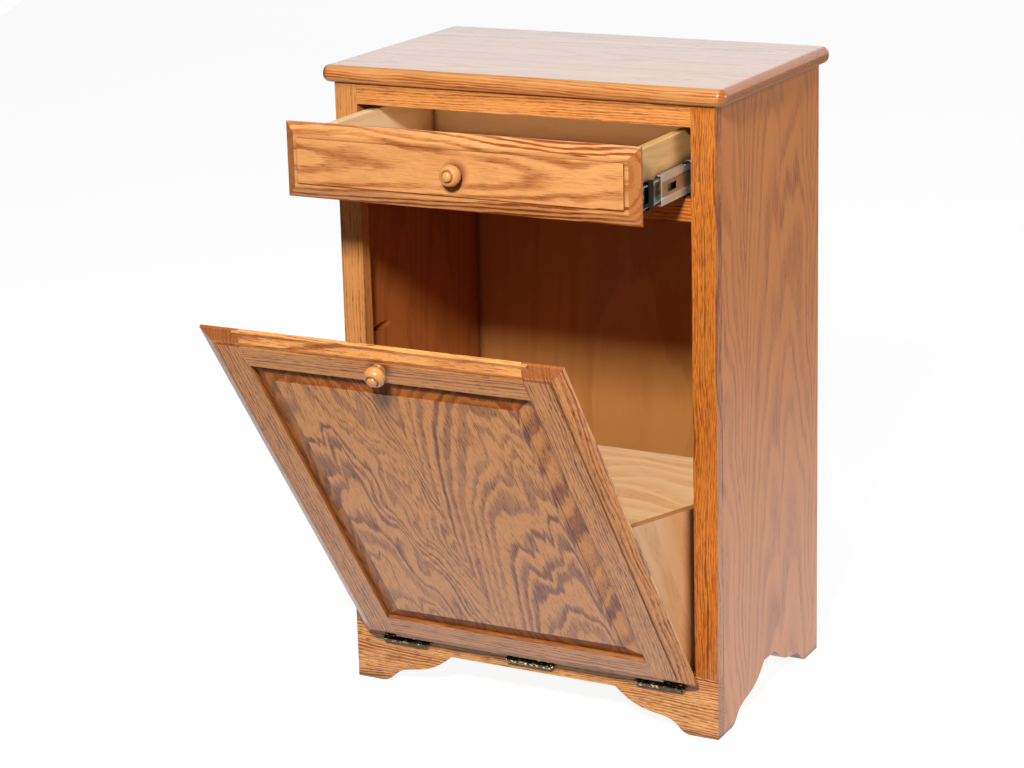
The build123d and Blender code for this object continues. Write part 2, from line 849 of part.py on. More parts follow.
def standing_open():
    """Every piece where it lies with the door tilted out and the drawer part way open."""
    pieces = dict(cabinet_pieces())
    for name, piece in door_pieces().items():
        pieces[name] = tilt_out(piece)
    for name, piece in drawer_pieces().items():
        pieces[name] = Pos(0, -drawer_pull, 0) * piece
    for name, piece in slide_middle_pieces().items():
        pieces[name] = Pos(0, -drawer_pull / 2, 0) * piece
    return pieces


def centring_shift(pieces):
    """How far the open object moves along Y to stand centred over its origin."""
    boxes = [piece.bounding_box() for piece in pieces.values()]
    return -(min(b.min.Y for b in boxes) + max(b.max.Y for b in boxes)) / 2


nodes = standing_open()
shift_y = centring_shift(nodes)
os.makedirs("parts", exist_ok=True)
for name, piece in nodes.items():
    export_step(Pos(0, shift_y, 0) * piece, os.path.join("parts", name + ".step"))
print("nodes", len(nodes), "shift along Y", round(shift_y, 4))
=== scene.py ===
"""Studio picture of a tilt-out bin cabinet in golden oak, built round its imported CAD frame.

Lengths are in metres in the scene and in millimetres inside the wood finishes.
"""

from __future__ import annotations

import logging
import math
from dataclasses import dataclass, replace
from enum import Enum
from typing import Sequence, Union

import bpy
from mathutils import Matrix, Vector


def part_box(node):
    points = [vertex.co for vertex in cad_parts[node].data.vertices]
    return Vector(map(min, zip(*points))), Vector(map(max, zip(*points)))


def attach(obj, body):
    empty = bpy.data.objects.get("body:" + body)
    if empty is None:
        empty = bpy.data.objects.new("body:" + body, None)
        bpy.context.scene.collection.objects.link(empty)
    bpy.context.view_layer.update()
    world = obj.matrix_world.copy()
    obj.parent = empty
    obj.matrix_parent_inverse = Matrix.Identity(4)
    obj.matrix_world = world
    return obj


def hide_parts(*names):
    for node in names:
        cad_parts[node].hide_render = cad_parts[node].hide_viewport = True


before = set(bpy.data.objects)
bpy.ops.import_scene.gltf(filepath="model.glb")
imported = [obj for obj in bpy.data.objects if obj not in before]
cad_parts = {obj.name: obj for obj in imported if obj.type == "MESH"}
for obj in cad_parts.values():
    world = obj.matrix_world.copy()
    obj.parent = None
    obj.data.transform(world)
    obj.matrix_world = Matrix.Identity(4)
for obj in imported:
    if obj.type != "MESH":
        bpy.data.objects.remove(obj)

LOG = logging.getLogger("bin_cabinet")
Colour = tuple[float, float, float]
MM = 0.001
MIX_FIRST, MIX_SECOND, MIX_RESULT = 6, 7, 2  # a Mix node's sockets when it blends colours
ALONG, ACROSS, THROUGH = 0, 1, 2  # places in a Cut
SEED_STEP = 37.0  # shift of the noise between one seed and the next
EDGE_SAMPLES = 6
WELD_GAP = 0.00001


class Cut(Enum):
    """Which object axes run along the grain, across the board's face and through its thickness."""

    RAIL = "XZY"
    UPRIGHT = "ZXY"
    FLANK = "ZYX"
    LYING = "XYZ"
    RUNNER = "YZX"


class Field:
    """A number that varies over a surface, held as a shader socket."""

    def __init__(self, shader: "Shader", socket: bpy.types.NodeSocket) -> None:
        self.shader = shader
        self.socket = socket

    def calc(self, operation: str, *others: "Number", clamp: bool = False) -> "Field":
        """Return a new field worked out from this one.

        Args:
            operation: Name of the maths node's operation.
            others: Further operands.
            clamp: Whether the result is held between 0 and 1.

        Returns:
            The resulting field.
        """
        settings = {"operation": operation, "use_clamp": clamp}
        inputs = dict(enumerate((self, *others)))
        return Field(self.shader, self.shader.node("ShaderNodeMath", settings, inputs).outputs[0])

    def __add__(self, other: "Number") -> "Field":
        return self.calc("ADD", other)

    __radd__ = __add__

    def __sub__(self, other: "Number") -> "Field":
        return self.calc("SUBTRACT", other)

    def __rsub__(self, other: float) -> "Field":
        node = self.shader.node("ShaderNodeMath", {"operation": "SUBTRACT"}, {0: other, 1: self})
        return Field(self.shader, node.outputs[0])

    def __mul__(self, other: "Number") -> "Field":
        return self.calc("MULTIPLY", other)

    __rmul__ = __mul__

    def __truediv__(self, other: "Number") -> "Field":
        return self.calc("DIVIDE", other)

    def __pow__(self, other: "Number") -> "Field":
        return self.calc("POWER", other)

    def clamped(self) -> "Field":
        """Return the field held between 0 and 1."""
        return self.calc("ADD", 0.0, clamp=True)

    def step(self, low: float, high: float) -> "Field":
        """Return a smooth step from 0 at one value to 1 at another.

        Args:
            low: Value where the step leaves 0.
            high: Value where the step reaches 1.

        Returns:
            The stepped field.
        """
        settings = {"interpolation_type": "SMOOTHSTEP"}
        inputs = {"Value": self, "From Min": low, "From Max": high}
        return Field(self.shader, self.shader.node("ShaderNodeMapRange", settings, inputs).outputs[0])


Number = Union[Field, float]
Place = tuple[Field, Field, Field]


class Shader:
    """One material's node tree, with its main surface shader ready to be driven."""

    def __init__(self, name: str) -> None:
        self.material = bpy.data.materials.new(name)
        self.material.use_nodes = True
        self.tree = self.material.node_tree
        self.surface = self.tree.nodes["Principled BSDF"]

    def node(self, kind: str, settings: dict[str, object], inputs: dict) -> bpy.types.Node:
        """Add a node, set it up and wire its inputs.

        Args:
            kind: Type name of the node.
            settings: Node properties, applied first.
            inputs: Input name or number to a plain value, field or socket.

        Returns:
            The new node.
        """
        made = self.tree.nodes.new(kind)
        for key, value in settings.items():
            setattr(made, key, value)
        for key, value in inputs.items():
            self.feed(made.inputs[key], value)
        return made

    def feed(self, target: bpy.types.NodeSocket, value: object) -> None:
        """Give an input its plain value, or link it.

        Args:
            target: The input to fill.
            value: A plain value, a field or a socket.
        """
        if isinstance(value, Field):
            value = value.socket
        if isinstance(value, bpy.types.NodeSocket):
            self.tree.links.new(value, target)
        else:
            target.default_value = value

    def vector(self, x: Number, y: Number, z: Number) -> bpy.types.NodeSocket:
        """Return a vector socket put together from three numbers."""
        return self.node("ShaderNodeCombineXYZ", {}, {0: x, 1: y, 2: z}).outputs[0]

    def split(self, socket: bpy.types.NodeSocket) -> tuple[Field, Field, Field]:
        """Return the three parts of a vector or colour socket as fields."""
        parts = self.node("ShaderNodeSeparateXYZ", {}, {0: socket}).outputs
        return Field(self, parts[0]), Field(self, parts[1]), Field(self, parts[2])

    def noise(self, place: bpy.types.NodeSocket, scale: float = 1.0, detail: float = 2.0,
              roughness: float = 0.5) -> Field:
        """Return smooth noise centred on zero, about a half either way.

        Args:
            place: Where the noise is read.
            scale: How fine it is.
            detail: Number of finer layers.
            roughness: Strength of the finer layers.

        Returns:
            The noise as a field.
        """
        inputs = {"Vector": place, "Scale": scale, "Detail": detail, "Roughness": roughness}
        return Field(self, self.node("ShaderNodeTexNoise", {}, inputs).outputs[0]) - 0.5

    def mix(self, share: Number, first: object, second: object) -> bpy.types.NodeSocket:
        """Return two colours blended by a share.

        Args:
            share: 0 for the first colour, 1 for the second.
            first: First colour or socket.
            second: Second colour or socket.

        Returns:
            The blended colour's socket.
        """
        made = self.node("ShaderNodeMix", {"data_type": "RGBA"}, {0: share})
        for slot, value in ((MIX_FIRST, first), (MIX_SECOND, second)):
            self.feed(made.inputs[slot], (*value, 1.0) if isinstance(value, tuple) else value)
        return made.outputs[MIX_RESULT]

    def coat(self, **values: object) -> None:
        """Set inputs of the main surface shader, with underscores for spaces in their names."""
        for key, value in values.items():
            self.feed(self.surface.inputs[key.replace("_", " ")], value)

    def relief(self, height: Number, depth: float, rounding: float = 0.0) -> None:
        """Give the surface its fine relief and softened edges.

        Args:
            height: Relief between 0 and 1.
            depth: Height of the relief in metres.
            rounding: Radius of the softened edges in metres.
        """
        inputs: dict[object, object] = {"Height": height, "Distance": depth, "Strength": 1.0}
        if rounding:
            edge = self.node("ShaderNodeBevel", {"samples": EDGE_SAMPLES}, {"Radius": rounding})
            inputs["Normal"] = edge.outputs[0]
        self.coat(Normal=self.node("ShaderNodeBump", {}, inputs).outputs[0])


@dataclass(frozen=True)
class Tilt:
    """How far the door stands open, and the line it turns about."""

    angle: float = math.radians(34.9)
    pivot: Vector = Vector((0.0, 0.0138553, 0.064))

    def opened(self) -> Matrix:
        """Return the matrix that carries the closed door to its open place."""
        turn = Matrix.Rotation(self.angle, 4, "X")
        return Matrix.Translation(self.pivot) @ turn @ Matrix.Translation(-self.pivot)


@dataclass(frozen=True)
class WoodTone:
    """Colours and gloss of one kind of finished wood, with light and deep for late and early wood."""

    light: Colour
    deep: Colour
    pore: Colour
    end: Colour
    end_light: Colour = (0.46, 0.15, 0.03)
    # painted shade: the colour that inner corners are darkened towards
    corner: Colour = (0.16, 0.035, 0.006)
    contrast: float = 1.0
    pore_strength: float = 0.8
    stray_pores: float = 0.12
    blotch: float = 0.5
    roughness: float = 0.42
    lacquer: float = 0.6
    lacquer_roughness: float = 0.16


@dataclass(frozen=True)
class Board:
    """How one piece was cut from its log; lengths in millimetres.

    The heart of the log lies below the board by heart and beside it by aside, and sinks by rise along
    the grain. Rings are a ring apart; wander, swirl, jag, ripple and feather make them waver. Early wood
    comes and goes by patchy. End grain shows within end_slope. A stave is the width of one strip of a
    glued-up panel, quiet calms the face, and plain is 1 where the inner face takes a plainer, darker
    red-brown colour.
    """

    cut: Cut
    tone: WoodTone
    seed: float = 0.0
    heart: float = 70.0
    aside: float = 0.0
    rise: float = 0.03
    ring: float = 4.2
    wander: float = 9.0
    swirl: float = 62.0
    jag: float = 0.0
    ripple: float = 3.0
    feather: float = 2.4
    plain: float = 0.0
    end_slope: tuple[float, float] = (0.15, 0.5)
    patchy: float = 2.4
    bevelled: bool = False
    quiet: float = 0.0
    stave: float = 0.0
    on_door: bool = False


@dataclass(frozen=True)
class Cloud:
    """Noise in the wood, with the size of its cells in millimetres.

    The seed shifts the noise in one of the three directions, or in none.
    """

    across: float
    along: float
    detail: float = 1.0
    roughness: float = 0.5
    seeded: int | None = THROUGH


@dataclass(frozen=True)
class Habit:
    """How the wood's own features look, alike on every board; lengths in millimetres.

    An edge, rise or fall names where a smooth step starts and ends. A width or strength names a gain
    and a level. A share says how much one feature counts for in the whole.
    """

    jags: Cloud = Cloud(9.0, 300.0)
    ripples: Cloud = Cloud(13.0, 46.0)
    streaks: Cloud = Cloud(1.5, 42.0, seeded=ALONG)
    patches: Cloud = Cloud(16.0, 70.0, detail=2.0)
    fibres: Cloud = Cloud(0.8, 30.0, detail=2.0, seeded=ALONG)
    pits: Cloud = Cloud(0.62, 7.5, roughness=0.4, seeded=None)
    dashes: Cloud = Cloud(1.1, 15.0, roughness=0.4)
    blotches: Cloud = Cloud(30.0, 110.0, detail=3.0)
    swirl_length: float = 3.0
    sideways: float = 1.6
    uneven_reach: float = 19.0
    uneven: float = 2.6
    early_rise: tuple[float, float] = (0.0, 0.16)
    early_fall: tuple[float, float] = (0.4, 1.0)
    early_width: tuple[float, float] = (0.45, 0.55)
    early_strength: tuple[float, float] = (0.6, 0.4)
    patch_base: float = 0.85
    pit_edge: tuple[float, float] = (0.05, 0.18)
    pit_share: float = 0.5
    dash_edge: tuple[float, float] = (0.05, 0.17)
    early_pores: float = 0.9
    early_share: float = 0.95
    fibre_share: float = 0.6
    shade_share: float = 0.3
    ground: float = 0.02
    stave_start: float = 0.37
    stave_dice: float = 7.3
    stave_drift: float = 0.7
    stave_jump: float = 900.0
    stave_heart: float = 45.0


@dataclass(frozen=True)
class FinishAndShade:
    """How ends, joints, gloss and the painted shade in corners and on panel bevels look, alike on every
    board.

    A face names the squareness, or the depth in millimetres, where a smooth step starts and ends. A mix
    names the weights of fibres and early wood, and a ground. Reach, relief and rounding are in metres.
    """

    end_share: float = 0.85
    end_mix: tuple[float, float, float] = (1.6, 0.4, 0.3)
    joint_share: float = 0.5
    joint_width: float = 0.4
    quiet_face: tuple[float, float] = (0.4, 0.9)
    inner_face: tuple[float, float] = (4.0, 7.0)
    inner_share: float = 0.9
    inner_mix: tuple[float, float] = (0.5, 0.3)
    inner_light: Colour = (0.50, 0.16, 0.04)
    inner_deep: Colour = (0.36, 0.10, 0.02)
    # painted shade in inner corners: its reach, gain and greatest share
    corner_shade_reach: float = 0.011
    corner_shade_gain: float = 1.5
    corner_shade_most: float = 0.85
    slant_face: tuple[float, float] = (0.985, 0.9992)
    slant_calm: float = 0.45
    # painted shade on the panel's bevels, mixed with end-grain stain; bevels facing right, towards the key
    # light, are spared
    lit_bevel_face: tuple[float, float] = (0.02, 0.1)
    bevel_mix: tuple[float, float, float] = (0.8, 1.3, 0.35)
    bevel_shade_share: float = 0.6
    pore_rough: float = 0.2
    end_rough: float = 0.15
    specular: float = 0.35
    pore_depth: float = 0.8
    ring_depth: float = 0.2
    relief: float = 0.00006
    rounding: float = 0.0009


class WoodFinish:
    """Finished wood drawn as a solid log, so that faces, edges and ends agree."""

    HABIT = Habit()
    FINISH_AND_SHADE = FinishAndShade()

    def __init__(self, name: str, board: Board, centre: Vector, tilt: Tilt) -> None:
        self.shader = Shader(name)
        self.board = board
        self.centre = centre
        self.tilt = tilt
        self.seed = board.seed * SEED_STEP

    def grain_place(self) -> Place:
        """Return the distances along, across and through the board in millimetres."""
        place = self.shader.node("ShaderNodeTexCoord", {}, {}).outputs["Object"]
        if self.board.on_door:
            settings = {"rotation_type": "X_AXIS"}
            inputs = {"Vector": place, "Center": self.tilt.pivot, "Angle": -self.tilt.angle}
            place = self.shader.node("ShaderNodeVectorRotate", settings, inputs).outputs[0]
        parts = dict(zip("XYZ", self.shader.split(place)))
        middle = dict(zip("XYZ", self.centre))
        along, across, through = ((parts[axis] - middle[axis]) / MM for axis in self.board.cut.value)
        return along, across, through

    def facing(self, role: int, low: float, high: float, signed: bool = False) -> Field:
        """Return how squarely the surface faces one of the board's directions.

        Args:
            role: ALONG, ACROSS or THROUGH.
            low: Squareness where the result leaves 0.
            high: Squareness where the result reaches 1.
            signed: Whether only the positive side counts.

        Returns:
            The squareness from 0 to 1.
        """
        normal = self.shader.node("ShaderNodeTexCoord", {}, {}).outputs["Normal"]
        axis = Vector([float(name == self.board.cut.value[role]) for name in "XYZ"])
        if self.board.on_door:
            axis = Matrix.Rotation(self.tilt.angle, 3, "X") @ axis
        settings = {"operation": "DOT_PRODUCT"}
        dot = self.shader.node("ShaderNodeVectorMath", settings, {0: normal, 1: axis}).outputs["Value"]
        squareness = Field(self.shader, dot)
        return (squareness if signed else squareness.calc("ABSOLUTE")).step(low, high)

    def corners(self, reach: float) -> Field:
        """Return how deep the surface lies in an inner corner, for the painted shade in corners.

        Args:
            reach: Size of the corner in metres.

        Returns:
            The depth from 0 to 1.
        """
        settings = {"samples": EDGE_SAMPLES}
        made = self.shader.node("ShaderNodeAmbientOcclusion", settings, {"Distance": reach})
        return 1.0 - Field(self.shader, made.outputs["AO"])

    def dice(self, number: Field) -> tuple[Field, Field, Field]:
        """Return three random fields from 0 to 1 that belong to a number."""
        settings = {"noise_dimensions": "1D"}
        made = self.shader.node("ShaderNodeTexWhiteNoise", settings, {"W": number})
        return self.shader.split(made.outputs["Color"])

    def staves(self, along: Field, across: Field) -> tuple[Field, Field, Field, Field, Field]:
        """Split a glued-up panel into staves that were cut from different places.

        Args:
            along: Distance along the grain.
            across: Distance across the board.

        Returns:
            The shifted distances along and across, a heart offset, a shade from 0 to 1 and the joint lines.
        """
        board, habit = self.board, self.HABIT
        position = across / board.stave + (habit.stave_start + board.seed)
        number = position.calc("FLOOR")
        first, second, third = self.dice(number + board.seed * habit.stave_dice)
        offset = position - number - 0.5
        local = offset * board.stave + (second - 0.5) * (board.stave * habit.stave_drift)
        joint = 1.0 - offset.calc("ABSOLUTE").step(0.5 - self.FINISH_AND_SHADE.joint_width / board.stave, 0.5)
        return along + first * habit.stave_jump, local, third * habit.stave_heart, third, joint

    def noise(self, place: Place, cloud: Cloud) -> Field:
        """Return noise in the wood at a place given as distances along, across and through the board."""
        along, across, through = place
        parts = {ACROSS: across / cloud.across, THROUGH: through / cloud.across, ALONG: along / cloud.along}
        if cloud.seeded is not None:
            parts[cloud.seeded] = parts[cloud.seeded] + self.seed
        spot = self.shader.vector(parts[ACROSS], parts[THROUGH], parts[ALONG])
        return self.shader.noise(spot, detail=cloud.detail, roughness=cloud.roughness)

    def rings(self, place: Place, heart: Number) -> Field:
        """Return the early wood of each growth ring, where the pores lie.

        Args:
            place: Distances along, across and through the board.
            heart: Further distance of the log's heart below the board.

        Returns:
            The early wood from 0 to 1.
        """
        shader, board, habit = self.shader, self.board, self.HABIT
        along, across, through = place
        swirls = Cloud(board.swirl, board.swirl * habit.swirl_length, seeded=ACROSS)
        bend = self.noise(place, swirls) * board.wander + self.noise(place, habit.jags) * board.jag
        ripple = self.noise(place, habit.ripples) * board.ripple
        ripple = ripple + self.noise(place, habit.streaks) * board.feather
        aside = across - board.aside + bend * habit.sideways
        depth = through + board.heart + heart + along * board.rise
        radius = (aside ** 2.0 + depth ** 2.0).calc("SQRT") + bend + ripple
        spot = shader.vector(radius / habit.uneven_reach, self.seed, 0.0)
        uneven = shader.noise(spot) * habit.uneven
        turns = radius / board.ring + uneven
        number = turns.calc("FLOOR")
        strength, width, _ = self.dice(number + self.seed)
        phase = turns - number
        fall = (phase / (width * habit.early_width[0] + habit.early_width[1])).step(*habit.early_fall)
        early = phase.step(*habit.early_rise) * (1.0 - fall)
        early = early * (strength * habit.early_strength[0] + habit.early_strength[1])
        return early * (self.noise(place, habit.patches) * board.patchy + habit.patch_base).clamped()

    def pores(self, place: Place, early: Field) -> Field:
        """Return the open pores, most of them in the early wood."""
        habit = self.HABIT
        pores = self.noise(place, habit.pits).step(*habit.pit_edge) * habit.pit_share
        pores = pores + self.noise(place, habit.dashes).step(*habit.dash_edge)
        return (pores * (early * habit.early_pores + self.board.tone.stray_pores)).calc("MINIMUM", 1.0)

    @staticmethod
    def weigh(fibre: Field, early: Field, weights: tuple[float, float, float]) -> Field:
        """Return fibres and early wood mixed by their weights on a ground, held between 0 and 1."""
        return (fibre * weights[0] + early * weights[1] + weights[2]).step(0.0, 1.0)

    def paint(self) -> bpy.types.Material:
        """Build the wood's colour, gloss and pores.

        Returns:
            The finished material.
        """
        shader, board, tone = self.shader, self.board, self.board.tone
        habit, finish_and_shade = self.HABIT, self.FINISH_AND_SHADE
        along, across, through = self.grain_place()
        shade: Number = 0.5
        heart: Number = 0.0
        joint: Number = 1.0
        if board.stave:
            along, across, heart, shade, joint = self.staves(along, across)
        place = (along, across, through)
        early = self.rings(place, heart)
        pores = self.pores(place, early)
        fibre = self.noise(place, habit.fibres)
        figure = early * habit.early_share + fibre * habit.fibre_share
        figure = figure + self.noise(place, habit.blotches) * tone.blotch
        figure = figure + (shade - 0.5) * habit.shade_share + habit.ground
        contrast: Number = tone.contrast
        if board.quiet:
            contrast = tone.contrast * (1.0 - self.facing(THROUGH, *finish_and_shade.quiet_face) * board.quiet)
        slant: Number = 0.0
        if board.bevelled:
            slant = 1.0 - self.facing(THROUGH, *finish_and_shade.slant_face)
            contrast = tone.contrast * (1.0 - slant * finish_and_shade.slant_calm)
        colour = shader.mix((figure * contrast).clamped(), tone.light, tone.deep)
        colour = shader.mix(pores * tone.pore_strength, colour, tone.pore)
        end = self.facing(ALONG, *board.end_slope)
        end_colour = shader.mix(self.weigh(fibre, early, finish_and_shade.end_mix), tone.end_light, tone.end)
        colour = shader.mix(end * finish_and_shade.end_share, colour, end_colour)
        if board.stave:
            colour = shader.mix((1.0 - joint) * finish_and_shade.joint_share, colour, tone.pore)
        if board.plain:
            inner = (through * board.plain).step(*finish_and_shade.inner_face)
            share = figure * finish_and_shade.inner_mix[0] + finish_and_shade.inner_mix[1]
            plain = shader.mix(share, finish_and_shade.inner_light, finish_and_shade.inner_deep)
            colour = shader.mix(inner * finish_and_shade.inner_share, colour, plain)
        # painted shade: inner corners found by ambient occlusion are darkened towards the corner colour
        corner = self.corners(finish_and_shade.corner_shade_reach) * finish_and_shade.corner_shade_gain
        colour = shader.mix(corner.calc("MINIMUM", finish_and_shade.corner_shade_most), colour, tone.corner)
        lacquer: Number = tone.lacquer
        # painted shade: panel bevels that do not face right, towards the key light, are darkened towards
        # the end-grain colours and lose their lacquer; on the top and bottom bevels this darkening is also
        # real end-grain stain
        if board.bevelled:
            bevel = slant * (1.0 - self.facing(ACROSS, *finish_and_shade.lit_bevel_face, signed=True))
            stain_and_shade = shader.mix(self.weigh(fibre, early, finish_and_shade.bevel_mix), tone.end_light, tone.end)
            colour = shader.mix(bevel * finish_and_shade.bevel_shade_share, colour, stain_and_shade)
            lacquer = tone.lacquer * (1.0 - bevel)
        roughness = tone.roughness + pores * finish_and_shade.pore_rough + end * finish_and_shade.end_rough
        shader.coat(Base_Color=colour, Roughness=roughness, Coat_Weight=lacquer,
                    Coat_Roughness=tone.lacquer_roughness, Specular_IOR_Level=finish_and_shade.specular)
        height = 1.0 - pores * finish_and_shade.pore_depth - early * finish_and_shade.ring_depth
        shader.relief(height, finish_and_shade.relief, finish_and_shade.rounding)
        return shader.material


@dataclass(frozen=True)
class MetalTone:
    """Colours and gloss of one metal finish."""

    bright: Colour
    dull: Colour
    roughness: float
    mottle: float = 120.0
    stretch: tuple[float, float, float] = (1.0, 1.0, 1.0)
    metallic: float = 1.0
    tarnish_and_glints: tuple[float, float] = (0.2, 0.8)


class MetalFinish:
    """Plated or aged metal with cloudy tarnish and fine rolling marks; on brass the bright patches are also
    painted highlights.
    """

    FINER = 14.0
    TARNISH_GAIN, TARNISH_LEVEL = 1.8, 0.5
    CLOUD_ROUGH, MARK_ROUGH = 0.2, 0.08
    RELIEF, ROUNDING = 0.00002, 0.0004

    def __init__(self, name: str, tone: MetalTone) -> None:
        self.shader = Shader(name)
        self.tone = tone

    def paint(self) -> bpy.types.Material:
        """Build the metal's colour, gloss and marks.

        Returns:
            The finished material.
        """
        shader, tone = self.shader, self.tone
        x, y, z = shader.split(shader.node("ShaderNodeTexCoord", {}, {}).outputs["Object"])
        place = shader.vector(x * tone.stretch[0], y * tone.stretch[1], z * tone.stretch[2])
        cloud = shader.noise(place, tone.mottle, detail=3.0, roughness=0.6)
        marks = shader.noise(place, tone.mottle * self.FINER)
        # on the brass hinges the bright patches are worn brass that also stands for glints of light,
        # painted highlights; on the screws the mix is tarnish
        tarnish_and_glints = (cloud * self.TARNISH_GAIN + self.TARNISH_LEVEL).step(*tone.tarnish_and_glints)
        colour = shader.mix(tarnish_and_glints, tone.bright, tone.dull)
        roughness = tone.roughness + cloud * self.CLOUD_ROUGH + marks * self.MARK_ROUGH
        shader.coat(Base_Color=colour, Metallic=tone.metallic, Roughness=roughness)
        shader.relief(marks, self.RELIEF, self.ROUNDING)
        return shader.material


class ChannelFinish(MetalFinish):
    """Plated steel rolled into a channel, with two raised beads along it, the hollow between them painted
    dull for shade and reflected wood, and a painted highlight on the front rim.
    """

    ROLLING_SCALE, ROLLING_STRETCH = 900.0, 0.15
    BEAD_EDGE = (0.42, 0.58)
    RIM_EDGE = (0.0006, 0.002)
    RIM_HIGHLIGHT: Colour = (0.95, 0.95, 0.94)
    RIM_POLISH = 0.1
    MARK_ROUGH = 0.1
    MARK_DEPTH = 0.05
    RELIEF = 0.0009

    def __init__(self, name: str, tone: MetalTone, low: Vector, high: Vector) -> None:
        super().__init__(name, tone)
        self.middle = (low.z + high.z) / 2
        self.half = (high.z - low.z) / 2
        self.front = low.y

    def paint(self) -> bpy.types.Material:
        """Build the plating, with painted shade and reflection in the hollow between the beads and a
        painted highlight on the front rim.

        Returns:
            The finished material.
        """
        shader, tone = self.shader, self.tone
        x, y, z = shader.split(shader.node("ShaderNodeTexCoord", {}, {}).outputs["Object"])
        marks = shader.noise(shader.vector(x, y * self.ROLLING_STRETCH, z), self.ROLLING_SCALE)
        height = (z - self.middle).calc("ABSOLUTE") / self.half
        bead = height.step(*self.BEAD_EDGE)
        # painted highlight: the front rim is painted near white; painted shade and reflection: the hollow
        # between the beads takes the dull colour
        rim_highlight = 1.0 - (y - self.front).step(*self.RIM_EDGE)
        colour = shader.mix(bead, tone.dull, tone.bright)
        colour = shader.mix(rim_highlight, colour, self.RIM_HIGHLIGHT)
        roughness = tone.roughness + marks * self.MARK_ROUGH - rim_highlight * self.RIM_POLISH
        shader.coat(Base_Color=colour, Metallic=tone.metallic, Roughness=roughness)
        shader.relief(bead + marks * self.MARK_DEPTH, self.RELIEF, self.ROUNDING)
        return shader.material


class PlasticFinish:
    """Moulded plastic with a faint grained surface."""

    GRAIN_SCALE = 1800.0
    GRAIN_GAIN, GRAIN_LEVEL = 0.6, 0.3
    WORN = 2.5
    GRAIN_ROUGH = 0.15
    SPECULAR = 0.12
    RELIEF, ROUNDING = 0.00002, 0.0003

    def __init__(self, name: str, colour: Colour, roughness: float) -> None:
        self.shader = Shader(name)
        self.colour = colour
        self.roughness = roughness

    def paint(self) -> bpy.types.Material:
        """Build the plastic's colour and grain.

        Returns:
            The finished material.
        """
        shader = self.shader
        place = shader.node("ShaderNodeTexCoord", {}, {}).outputs["Object"]
        grain = shader.noise(place, self.GRAIN_SCALE)
        worn = tuple(part * self.WORN for part in self.colour)
        colour = shader.mix(grain * self.GRAIN_GAIN + self.GRAIN_LEVEL, self.colour, worn)
        roughness = self.roughness + grain * self.GRAIN_ROUGH
        shader.coat(Base_Color=colour, Roughness=roughness, Specular_IOR_Level=self.SPECULAR)
        shader.relief(grain, self.RELIEF, self.ROUNDING)
        return shader.material


GOLDEN_OAK = WoodTone(
    light=(0.84, 0.37, 0.115),
    deep=(0.42, 0.098, 0.013),
    pore=(0.15, 0.030, 0.005),
    end=(0.36, 0.085, 0.010),
)
DRAWER_OAK = replace(GOLDEN_OAK, light=(0.82, 0.38, 0.130), deep=(0.33, 0.068, 0.009), contrast=1.45,
                     stray_pores=0.2)
TOP_OAK = replace(GOLDEN_OAK, light=(0.72, 0.33, 0.11), deep=(0.42, 0.105, 0.014), contrast=1.2,
                  pore_strength=0.35)
RAIL_OAK = replace(GOLDEN_OAK, light=(0.82, 0.35, 0.10), deep=(0.42, 0.105, 0.014), stray_pores=0.3)
DEEP_OAK = replace(GOLDEN_OAK, light=(0.68, 0.215, 0.027), deep=(0.27, 0.052, 0.005), contrast=1.1,
                   stray_pores=0.7, pore_strength=0.75)
BASE_OAK = replace(GOLDEN_OAK, light=(1.0, 0.48, 0.15), deep=(0.34, 0.078, 0.010), contrast=1.5,
                   stray_pores=0.6, pore_strength=0.95)
LEFT_OAK = replace(GOLDEN_OAK, light=(0.74, 0.32, 0.095), deep=(0.46, 0.14, 0.025), contrast=0.6)
SIDE_OAK = replace(GOLDEN_OAK, light=(0.75, 0.25, 0.042), deep=(0.42, 0.11, 0.014), contrast=0.85,
                   pore_strength=0.5)
DOOR_OAK = replace(GOLDEN_OAK, light=(1.0, 0.43, 0.125), deep=(0.50, 0.125, 0.024),
                   end=(0.26, 0.055, 0.007), end_light=(0.40, 0.10, 0.016), contrast=1.15,
                   stray_pores=0.42, pore_strength=0.95)
PANEL_OAK = replace(DOOR_OAK, light=(1.0, 0.41, 0.115), deep=(0.31, 0.066, 0.013),
                    end=(0.20, 0.042, 0.006), end_light=(0.62, 0.19, 0.035), contrast=1.6, blotch=0.4)
KNOB_OAK = replace(GOLDEN_OAK, light=(0.80, 0.37, 0.12), deep=(0.60, 0.22, 0.05), contrast=0.7,
                   pore_strength=0.2, lacquer=1.0, lacquer_roughness=0.07, roughness=0.35)
ASH = WoodTone(
    light=(0.76, 0.49, 0.25),
    deep=(0.60, 0.28, 0.09),
    pore=(0.45, 0.20, 0.06),
    end=(0.50, 0.27, 0.10),
    contrast=0.62,
    pore_strength=0.3,
    blotch=0.3,
    roughness=0.5,
    lacquer=0.3,
)
GUSSET_ASH = replace(ASH, light=(0.90, 0.50, 0.24), deep=(0.72, 0.34, 0.12))
MAPLE = WoodTone(
    light=(0.76, 0.47, 0.19),
    deep=(0.62, 0.33, 0.10),
    pore=(0.45, 0.22, 0.07),
    end=(0.55, 0.30, 0.10),
    contrast=0.6,
    pore_strength=0.15,
    blotch=0.4,
    roughness=0.5,
    lacquer=0.3,
)
# painted light: a lighter copy of MAPLE for the inside of the drawer, standing in for light that reaches
# into the open drawer
LIT_MAPLE = replace(MAPLE, light=(0.97, 0.76, 0.47), deep=(0.90, 0.62, 0.32))
PLY = replace(MAPLE, light=(0.54, 0.235, 0.06), deep=(0.42, 0.15, 0.03), blotch=0.8)

